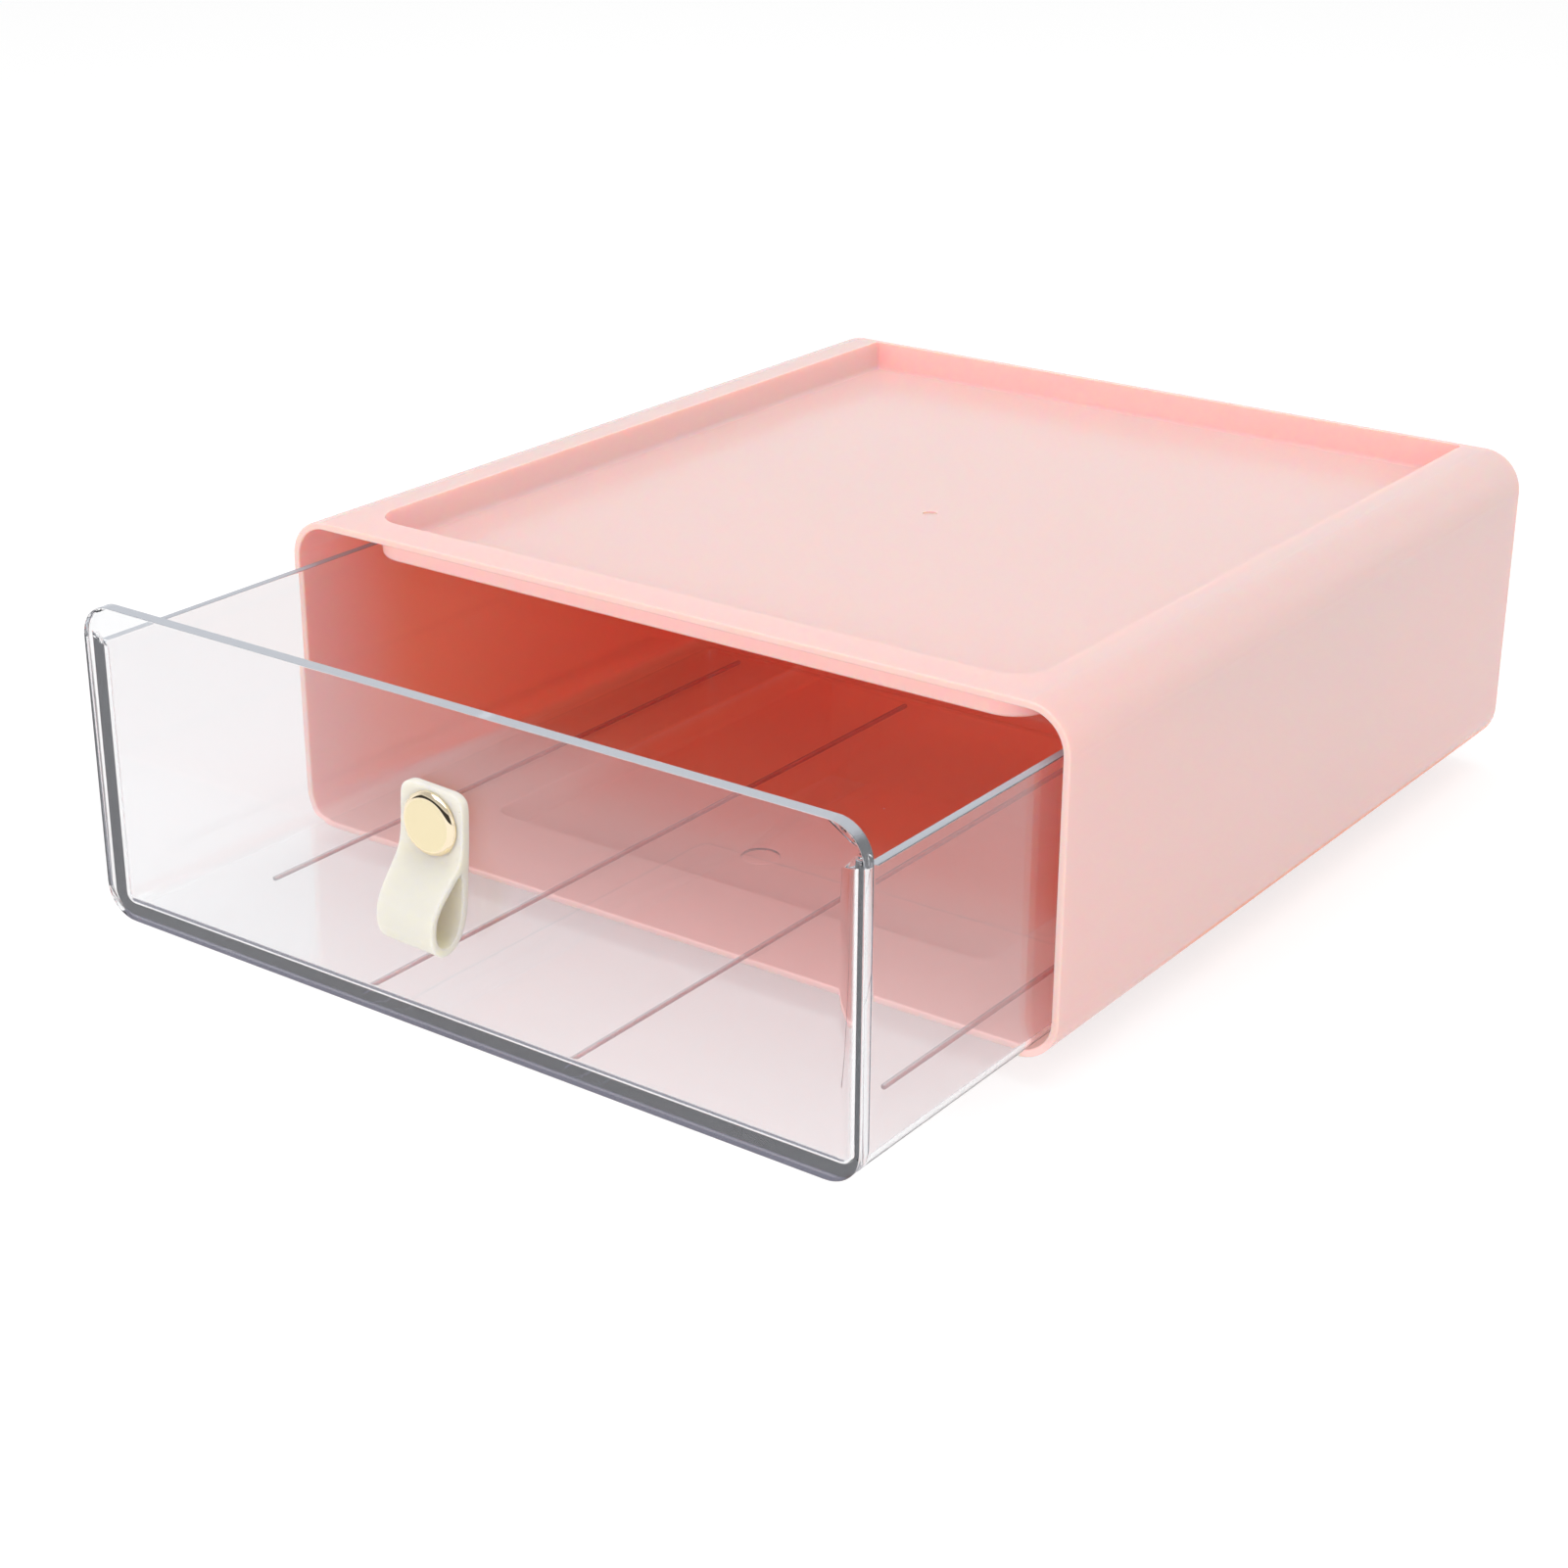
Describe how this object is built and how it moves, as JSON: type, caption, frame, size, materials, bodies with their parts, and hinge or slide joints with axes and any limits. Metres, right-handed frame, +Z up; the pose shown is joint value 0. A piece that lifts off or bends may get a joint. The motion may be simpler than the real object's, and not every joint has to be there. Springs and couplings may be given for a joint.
{
  "type": "stackable drawer box",
  "caption": "Stackable desktop drawer box: an open-fronted moulded sleeve with a stacking tray in its top and a clear sliding drawer with a riveted strap pull.",
  "frame": {"origin": "middle of the flat underside of the plinth that the box stands on", "axes": "+X to the right, +Y to the closed back, +Z up; the drawer pulls out along -Y and is stored partly pulled out"},
  "size_m": [0.2, 0.2831, 0.08],
  "materials": {
    "case_plastic": "semi-gloss moulded plastic, pale blush pink",
    "clear_plastic": "clear polished moulded plastic",
    "strap": "soft matt moulded strap, cream",
    "rivet": "satin pale gold face with a polished bevel",
    "screw": "plain zinc-plated steel"
  },
  "bodies": {
    "case": {"case": "case_plastic"},
    "drawer": {"drawer": "clear_plastic", "rivet_cap": "rivet", "rivet_screw": "screw"},
    "strap": {"pull_strap": "strap"}
  },
  "joints": [
    {"name": "drawer_slide", "type": "slide", "parent": "case", "child": "drawer", "axis": [0, -1, 0], "range_m": [-0.0628, 0.102]},
    {"name": "strap_swivel", "type": "hinge", "parent": "drawer", "child": "strap", "pos_m": [0, -0.1678, 0.0547], "axis": [0, 1, 0], "range_deg": [-90, 90]}
  ]
}
